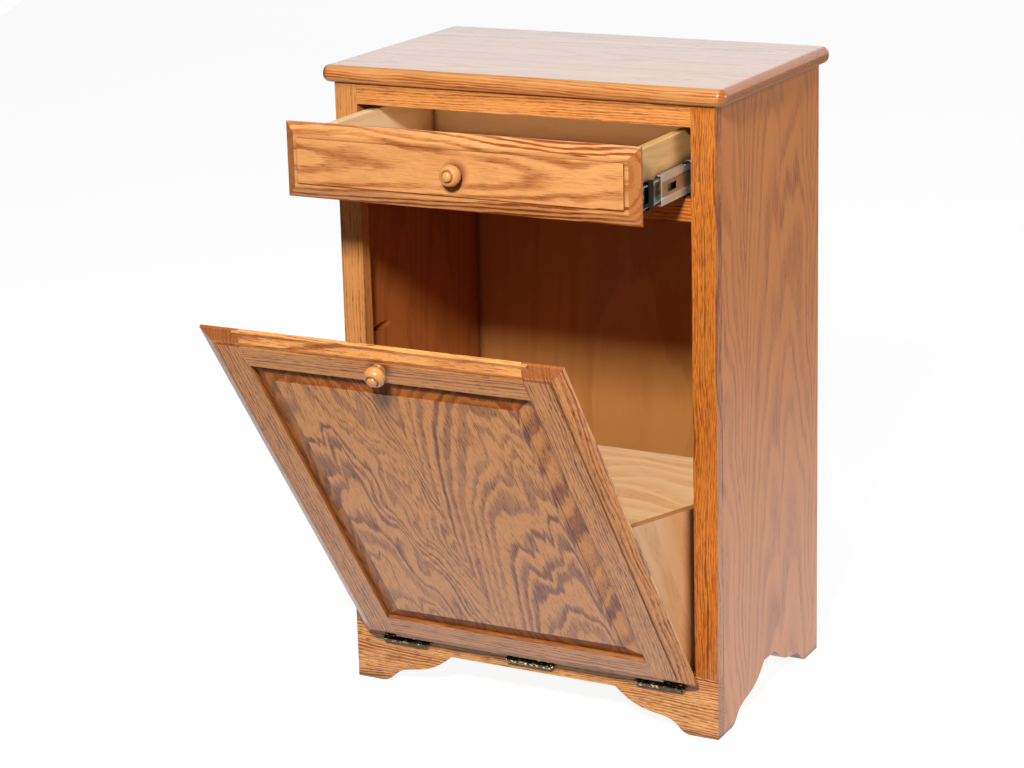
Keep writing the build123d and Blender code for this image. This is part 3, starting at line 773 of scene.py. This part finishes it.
BOARDS: dict[str, Board] = {
    "top_board": Board(Cut.LYING, TOP_OAK, 1.3, heart=60.0, rise=0.02, stave=92.0, quiet=0.65),
    "base_rail": Board(Cut.RAIL, BASE_OAK, 2.1, heart=30.0, aside=-70.0, rise=0.03, ring=3.6),
    "middle_rail": Board(Cut.RAIL, DEEP_OAK, 3.4, aside=60.0, heart=20.0),
    "top_rail": Board(Cut.RAIL, RAIL_OAK, 4.6, aside=50.0, heart=30.0, ring=3.0),
    "left_stile": Board(Cut.UPRIGHT, LEFT_OAK, 5.2, aside=70.0, heart=20.0, rise=0.01),
    "right_stile": Board(Cut.UPRIGHT, DEEP_OAK, 6.7, aside=-75.0, heart=15.0, rise=0.01, ring=3.4,
                         ripple=1.2, feather=4.2, patchy=3.0),
    "left_side_panel": Board(Cut.FLANK, SIDE_OAK, 7.9, ring=6.0, heart=95.0, wander=14.0, stave=115.0,
                             plain=1.0),
    "right_side_panel": Board(Cut.FLANK, SIDE_OAK, 8.4, ring=6.0, heart=95.0, wander=14.0, ripple=1.6,
                              stave=115.0, rise=0.05),
    "back_panel": Board(Cut.UPRIGHT, PLY, 9.1, heart=240.0, ring=14.0, wander=20.0),
    "bottom_shelf": Board(Cut.LYING, PLY, 10.2),
    "back_top_cleat": Board(Cut.RAIL, MAPLE, 11.5),
    "left_top_cleat": Board(Cut.RUNNER, MAPLE, 12.5),
    "right_top_cleat": Board(Cut.RUNNER, MAPLE, 12.9),
    "left_slide_spacer": Board(Cut.RUNNER, MAPLE, 13.2),
    "right_slide_spacer": Board(Cut.RUNNER, MAPLE, 13.8),
    "left_door_stop": Board(Cut.RUNNER, MAPLE, 14.2),
    "right_door_stop": Board(Cut.RUNNER, MAPLE, 14.8),
    "left_door_stile": Board(Cut.UPRIGHT, DOOR_OAK, 15.3, aside=90.0, heart=25.0, rise=0.012,
                             on_door=True),
    "right_door_stile": Board(Cut.UPRIGHT, DOOR_OAK, 16.2, aside=-90.0, heart=20.0, rise=0.01,
                              on_door=True),
    "door_top_rail": Board(Cut.RAIL, DOOR_OAK, 17.4, aside=40.0, heart=40.0, on_door=True),
    "door_bottom_rail": Board(Cut.RAIL, DOOR_OAK, 18.6, aside=-30.0, heart=50.0, on_door=True),
    "door_panel": Board(Cut.UPRIGHT, PANEL_OAK, 19.7, heart=105.0, rise=0.13, ring=7.0, wander=34.0,
                        swirl=50.0, jag=5.0, feather=2.2, patchy=1.2, end_slope=(0.05, 0.17),
                        bevelled=True, stave=168.0, on_door=True),
    "bin_floor": Board(Cut.LYING, ASH, 20.3, ring=11.0, rise=0.04, heart=70.0, wander=20.0,
                       on_door=True),
    "left_gusset": Board(Cut.FLANK, GUSSET_ASH, 21.1, ring=16.0, heart=90.0, on_door=True),
    "right_gusset": Board(Cut.FLANK, GUSSET_ASH, 22.6, ring=16.0, heart=90.0, on_door=True),
    "drawer_front": Board(Cut.RAIL, DRAWER_OAK, 23.5, heart=45.0, aside=6.0, rise=0.045, wander=19.0,
                          ring=7.8, ripple=4.2, feather=3.2, patchy=2.2),
    "drawer_box_front": Board(Cut.RAIL, LIT_MAPLE, 24.4),
    "drawer_back": Board(Cut.RAIL, LIT_MAPLE, 25.3),
    "drawer_bottom": Board(Cut.LYING, LIT_MAPLE, 26.2),
    "left_drawer_side": Board(Cut.RUNNER, LIT_MAPLE, 27.8),
    "right_drawer_side": Board(Cut.RUNNER, MAPLE, 28.6),
}
KNOB_WOOD = Board(Cut.UPRIGHT, KNOB_OAK, 30.1, heart=60.0, rise=0.02, ring=3.4, ripple=1.0, feather=0.6,
                  end_slope=(1.5, 2.0))


class Casework:
    """Every wooden board of the cabinet, door and drawer, as it comes from the CAD frame."""

    def __init__(self, tilt: Tilt) -> None:
        self.tilt = tilt

    def centre(self, node: str, board: Board) -> Vector:
        """Return the middle of a board, read with the door closed."""
        low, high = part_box(node)
        middle = (low + high) / 2
        return self.tilt.opened().inverted() @ middle if board.on_door else middle

    def build(self) -> None:
        """Give every board its own wood."""
        for node, board in BOARDS.items():
            finish = WoodFinish(node + "_wood", board, self.centre(node, board), self.tilt)
            dress(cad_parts[node], finish.paint())
        LOG.info("finished %d boards", len(BOARDS))


def dress(obj: bpy.types.Object, material: bpy.types.Material) -> None:
    """Put one material on a whole object and report the piece.

    Args:
        obj: The object.
        material: The material.
    """
    obj.data.materials.clear()
    obj.data.materials.append(material)
    LOG.info("%s is finished in %s", obj.name, material.name)


class Fittings:
    """Hinges, slides and screws as they come from the CAD frame."""

    # painted highlights: scattered patches of the bright colour on the dark brass also stand for glints of
    # light
    BRASS = MetalTone((0.90, 0.80, 0.50), (0.075, 0.065, 0.036), 0.15, 260.0, tarnish_and_glints=(0.25, 0.45))
    # painted reflection and shade: ZINC's tan dull colour stands for the orange wood reflected in the
    # slides' hollow
    ZINC = MetalTone((0.62, 0.68, 0.64), (0.38, 0.30, 0.20), 0.32, metallic=0.75)
    SHADED = MetalTone((0.24, 0.26, 0.27), (0.10, 0.11, 0.12), 0.3)
    SCREW = MetalTone((0.72, 0.62, 0.38), (0.45, 0.38, 0.22), 0.3, 300.0)

    def build(self) -> None:
        """Give every metal piece its plating."""
        brass = MetalFinish("antique_brass", self.BRASS).paint()
        screw = MetalFinish("yellow_zinc", self.SCREW).paint()
        nylon = PlasticFinish("black_nylon", (0.004, 0.004, 0.005), 0.45).paint()
        for node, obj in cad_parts.items():
            if "hinge" in node:
                dress(obj, brass)
            elif "member" in node:
                tone = self.SHADED if "outer" in node else self.ZINC
                dress(obj, ChannelFinish(node + "_zinc", tone, *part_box(node)).paint())
            elif "cages" in node or "lever" in node:
                dress(obj, nylon)
            elif "screw" in node:
                dress(obj, screw)


@dataclass(frozen=True)
class KnobShape:
    """Outline of a turned knob, with radii and the projection in millimetres.

    A profile lists how far the outline stands past a radius, and at which share of the projection.
    """

    foot: float = 8.8
    neck: float = 6.6
    head: float = 13.5
    button: float = 6.4
    projection: float = 25.0
    turns: int = 64
    foot_profile: tuple[tuple[float, float], ...] = ((-0.5, 0.0), (0.0, 0.03), (0.0, 0.07), (-1.0, 0.11))
    neck_profile: tuple[tuple[float, float], ...] = ((0.4, 0.14), (0.0, 0.18), (0.2, 0.22))
    groove_profile: tuple[tuple[float, float], ...] = ((1.4, 0.815), (0.9, 0.775), (0.2, 0.78), (0.0, 0.86))
    collar: float = 0.6
    head_steps: int = 24
    head_arc: tuple[float, float] = (0.88, 0.42)
    head_fullness: float = 0.8
    head_height: tuple[float, float] = (0.52, 0.3)
    button_steps: int = 8
    button_height: tuple[float, float] = (0.86, 0.14)

    def outline(self) -> list[tuple[float, float]]:
        """Return the turned outline from the middle of the foot to the middle of the button."""
        top = self.projection
        points = [(0.0, 0.0)]
        points += [(self.foot + past, share * top) for past, share in self.foot_profile]
        points += [(self.neck + past, share * top) for past, share in self.neck_profile]
        start = self.neck + self.collar
        middle, rise = self.head_height
        for step in range(1, self.head_steps + 1):
            angle = math.pi * (step / self.head_steps * self.head_arc[0] - self.head_arc[1])
            swell = max(math.cos(angle), 0.0) ** self.head_fullness
            points.append((start + (self.head - start) * swell, (middle + rise * math.sin(angle)) * top))
        points += [(self.button + past, share * top) for past, share in self.groove_profile]
        base, dome = self.button_height
        for step in range(1, self.button_steps + 1):
            angle = math.pi / 2 * step / self.button_steps
            points.append((self.button * math.cos(angle), (base + dome * math.sin(angle)) * top))
        return points


class TurnedKnob:
    """One knob turned in wood, standing on a front."""

    WOOD_CENTRE = Vector((0.0, 0.0, 0.012))

    def __init__(self, node: str, body: str, foot: Matrix, shape: KnobShape) -> None:
        self.node = node
        self.body = body
        self.foot = foot
        self.shape = shape

    def build(self, tilt: Tilt) -> bpy.types.Object:
        """Make the knob and stand it in for the CAD knob.

        Args:
            tilt: How the door stands.

        Returns:
            The knob.
        """
        outline = self.shape.outline()
        count = self.shape.turns
        points: list[Vector] = []
        faces: list[list[int]] = []
        for turn in range(count):
            angle = math.tau * turn / count
            for radius, height in outline:
                spot = Vector((radius * math.cos(angle), radius * math.sin(angle), height)) * MM
                points.append(self.foot @ spot)
        size = len(outline)
        for turn in range(count):
            here, there = turn * size, (turn + 1) % count * size
            faces += [[here + k, there + k, there + k + 1, here + k + 1] for k in range(size - 1)]
        obj = mesh_piece("turned_" + self.node, points, faces)
        on_door = self.body == "door"
        board = replace(KNOB_WOOD, on_door=on_door)
        middle = self.foot @ self.WOOD_CENTRE
        centre = tilt.opened().inverted() @ middle if on_door else middle
        dress(obj, WoodFinish(obj.name + "_wood", board, centre, tilt).paint())
        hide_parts(self.node)
        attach(obj, self.body)
        return obj


def mesh_piece(name: str, points: Sequence[Vector], faces: Sequence[Sequence[int]]) -> bpy.types.Object:
    """Make a smooth-shaded object from corners and faces, with doubled corners joined.

    Args:
        name: Name of the piece.
        points: Its corners in the row frame.
        faces: Its faces as corner numbers.

    Returns:
        The new object.
    """
    data = bpy.data.meshes.new(name)
    data.from_pydata([tuple(point) for point in points], [], [list(face) for face in faces])
    data.validate()
    obj = bpy.data.objects.new(name, data)
    bpy.context.scene.collection.objects.link(obj)
    data.shade_smooth()
    weld = obj.modifiers.new("weld", "WELD")
    weld.merge_threshold = WELD_GAP
    return obj


def knob_foot(node: str, tilt: Tilt, on_door: bool) -> Matrix:
    """Return where a knob stands, with its axis as local Z.

    Args:
        node: The CAD knob.
        tilt: How the door stands.
        on_door: Whether the knob is on the door.

    Returns:
        The matrix from the knob's own axes to the row frame.
    """
    points = [vertex.co.copy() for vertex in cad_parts[node].data.vertices]
    to_closed = tilt.opened().inverted() if on_door else Matrix.Identity(4)
    closed = [to_closed @ point for point in points]
    heights = [point.z for point in closed]
    back = max(point.y for point in closed)
    spot = Matrix.Translation((0.0, back, (min(heights) + max(heights)) / 2))
    stand = spot @ Matrix.Rotation(math.pi / 2, 4, "X")
    return (tilt.opened() if on_door else Matrix.Identity(4)) @ stand


@dataclass(frozen=True)
class CameraSpot:
    """Where the camera stands and how it looks."""

    place: Vector = Vector((1.52471, -2.8974, 1.40256))
    yaw: float = 0.4859
    pitch: float = 0.2528
    roll: float = -0.0256
    lens: float = 94.58
    sensor: float = 36.0
    shift: float = -0.082
    farthest: float = 60.0

    def build(self) -> None:
        """Make the camera the scene's own."""
        data = bpy.data.cameras.new("camera")
        data.lens = self.lens
        data.sensor_width = self.sensor
        data.shift_y = self.shift
        data.clip_end = self.farthest
        camera = bpy.data.objects.new("camera", data)
        turn = Matrix.Rotation(self.yaw, 4, "Z") @ Matrix.Rotation(math.pi / 2 - self.pitch, 4, "X")
        camera.matrix_world = Matrix.Translation(self.place) @ turn @ Matrix.Rotation(self.roll, 4, "Z")
        bpy.context.scene.collection.objects.link(camera)
        bpy.context.scene.camera = camera


@dataclass(frozen=True)
class Lamp:
    """One soft square light."""

    name: str
    place: Vector
    aim: Vector
    side: float
    power: float
    colour: Colour = (1.0, 1.0, 1.0)

    def build(self) -> None:
        """Hang the light and point it."""
        data = bpy.data.lights.new(self.name, "AREA")
        data.shape = "SQUARE"
        data.size = self.side
        data.energy = self.power
        data.color = self.colour
        obj = bpy.data.objects.new(self.name, data)
        obj.location = self.place
        obj.rotation_euler = (self.aim - self.place).to_track_quat("-Z", "Y").to_euler()
        bpy.context.scene.collection.objects.link(obj)


LAMPS = (
    Lamp("key", Vector((0.78, -2.5, 2.28)), Vector((0.0, -0.05, 0.42)), 0.38, 116.0, (1.0, 0.97, 0.93)),
    Lamp("side", Vector((3.0, 1.3, 1.3)), Vector((0.0, -0.05, 0.42)), 1.2, 42.0),
    Lamp("overhead", Vector((0.0, -0.6, 3.0)), Vector((0.0, -0.1, 0.0)), 1.2, 12.0),
)


@dataclass(frozen=True)
class Studio:
    """White cove, soft lights and surroundings."""

    front: float = -1.5
    back: float = 5.6
    half_width: float = 4.5
    height: float = 5.0
    bend: float = 1.2
    dim_glow: float = 0.0
    floor_reach: tuple[float, float] = (0.4, 2.6)
    floor_ramp: tuple[float, float] = (-0.6, 0.0)
    backdrop_glow: Colour = (1.3, 1.54, 1.7)
    floor_glow: Colour = (1.0, 1.0, 1.0)
    backdrop_start: tuple[float, float] = (0.3, 0.9)
    far_dimming: float = 0.78
    seen_glow: float = 0.92
    paper: float = 0.2
    tooth: float = 0.04
    tooth_scale: float = 90.0
    bend_steps: int = 12
    air: Colour = (0.035, 0.035, 0.036)

    def cove(self) -> bpy.types.Object:
        """Return the floor that curves up into a backdrop."""
        line = [(self.front, 0.0), (self.back - self.bend, 0.0)]
        for step in range(1, self.bend_steps + 1):
            angle = math.pi / 2 * step / self.bend_steps
            spot = (self.back - self.bend + self.bend * math.sin(angle), self.bend * (1 - math.cos(angle)))
            line.append(spot)
        line.append((self.back, self.height))
        points = [Vector((side * self.half_width, y, z)) for y, z in line for side in (-1, 1)]
        faces = [[2 * k, 2 * k + 1, 2 * k + 3, 2 * k + 2] for k in range(len(line) - 1)]
        return mesh_piece("cove", points, faces)

    def paint(self) -> bpy.types.Material:
        """Make the cove's white paper, which the camera sees brighter than the object does.

        Returns:
            The finished material.
        """
        shader = Shader("white_cove")
        place = shader.node("ShaderNodeTexCoord", {}, {}).outputs["Object"]
        tooth = shader.noise(place, self.tooth_scale, detail=3.0)
        paths = shader.node("ShaderNodeLightPath", {}, {}).outputs
        x, y, z = shader.split(place)
        far = (x ** 2.0 + y ** 2.0).calc("SQRT").step(*self.floor_reach)
        near = y.step(*self.floor_ramp) * (1.0 - far * self.far_dimming)
        mirrored = shader.mix(near, (self.dim_glow,) * 3, self.floor_glow)
        mirrored = shader.mix(z.step(*self.backdrop_start), mirrored, self.backdrop_glow)
        glow = shader.mix(Field(shader, paths["Is Glossy Ray"]), (self.dim_glow,) * 3, mirrored)
        seen = Field(shader, paths["Is Camera Ray"]) + Field(shader, paths["Is Transmission Ray"])
        glow = shader.mix(seen, glow, (self.seen_glow,) * 3)
        paper = shader.mix(tooth * 0.1 + 0.5, (self.paper,) * 3, (self.paper + self.tooth,) * 3)
        shader.coat(Base_Color=paper, Roughness=0.9, Emission_Color=glow, Emission_Strength=1.0)
        return shader.material

    def build(self) -> None:
        """Set up the cove, the lights and the surroundings."""
        cove = self.cove()
        dress(cove, self.paint())
        for lamp in LAMPS:
            lamp.build()
        self.surroundings()
        bpy.context.scene.view_settings.view_transform = "Standard"
        LOG.info("built the cove and %d lamps", len(LAMPS))

    def surroundings(self) -> None:
        """Make the air dim for the object but white behind it."""
        world = bpy.data.worlds.new("surroundings")
        bpy.context.scene.world = world
        world.use_nodes = True
        nodes, links = world.node_tree.nodes, world.node_tree.links
        path = nodes.new("ShaderNodeLightPath")
        shade = nodes.new("ShaderNodeMix")
        shade.data_type = "RGBA"
        shade.inputs[MIX_FIRST].default_value = (*self.air, 1.0)
        shade.inputs[MIX_SECOND].default_value = (1.0, 1.0, 1.0, 1.0)
        seen = nodes.new("ShaderNodeMath")
        links.new(path.outputs["Is Camera Ray"], seen.inputs[0])
        links.new(path.outputs["Is Transmission Ray"], seen.inputs[1])
        links.new(seen.outputs[0], shade.inputs[0])
        links.new(shade.outputs[MIX_RESULT], nodes["Background"].inputs["Color"])


def main() -> None:
    """Build the picture in order."""
    logging.basicConfig(level=logging.INFO)
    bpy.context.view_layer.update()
    tilt = Tilt()
    Casework(tilt).build()
    Fittings().build()
    for node, body in (("door_knob", "door"), ("drawer_knob", "drawer")):
        TurnedKnob(node, body, knob_foot(node, tilt, body == "door"), KnobShape()).build(tilt)
    Studio().build()
    CameraSpot().build()


if __name__ == "__main__":
    main()
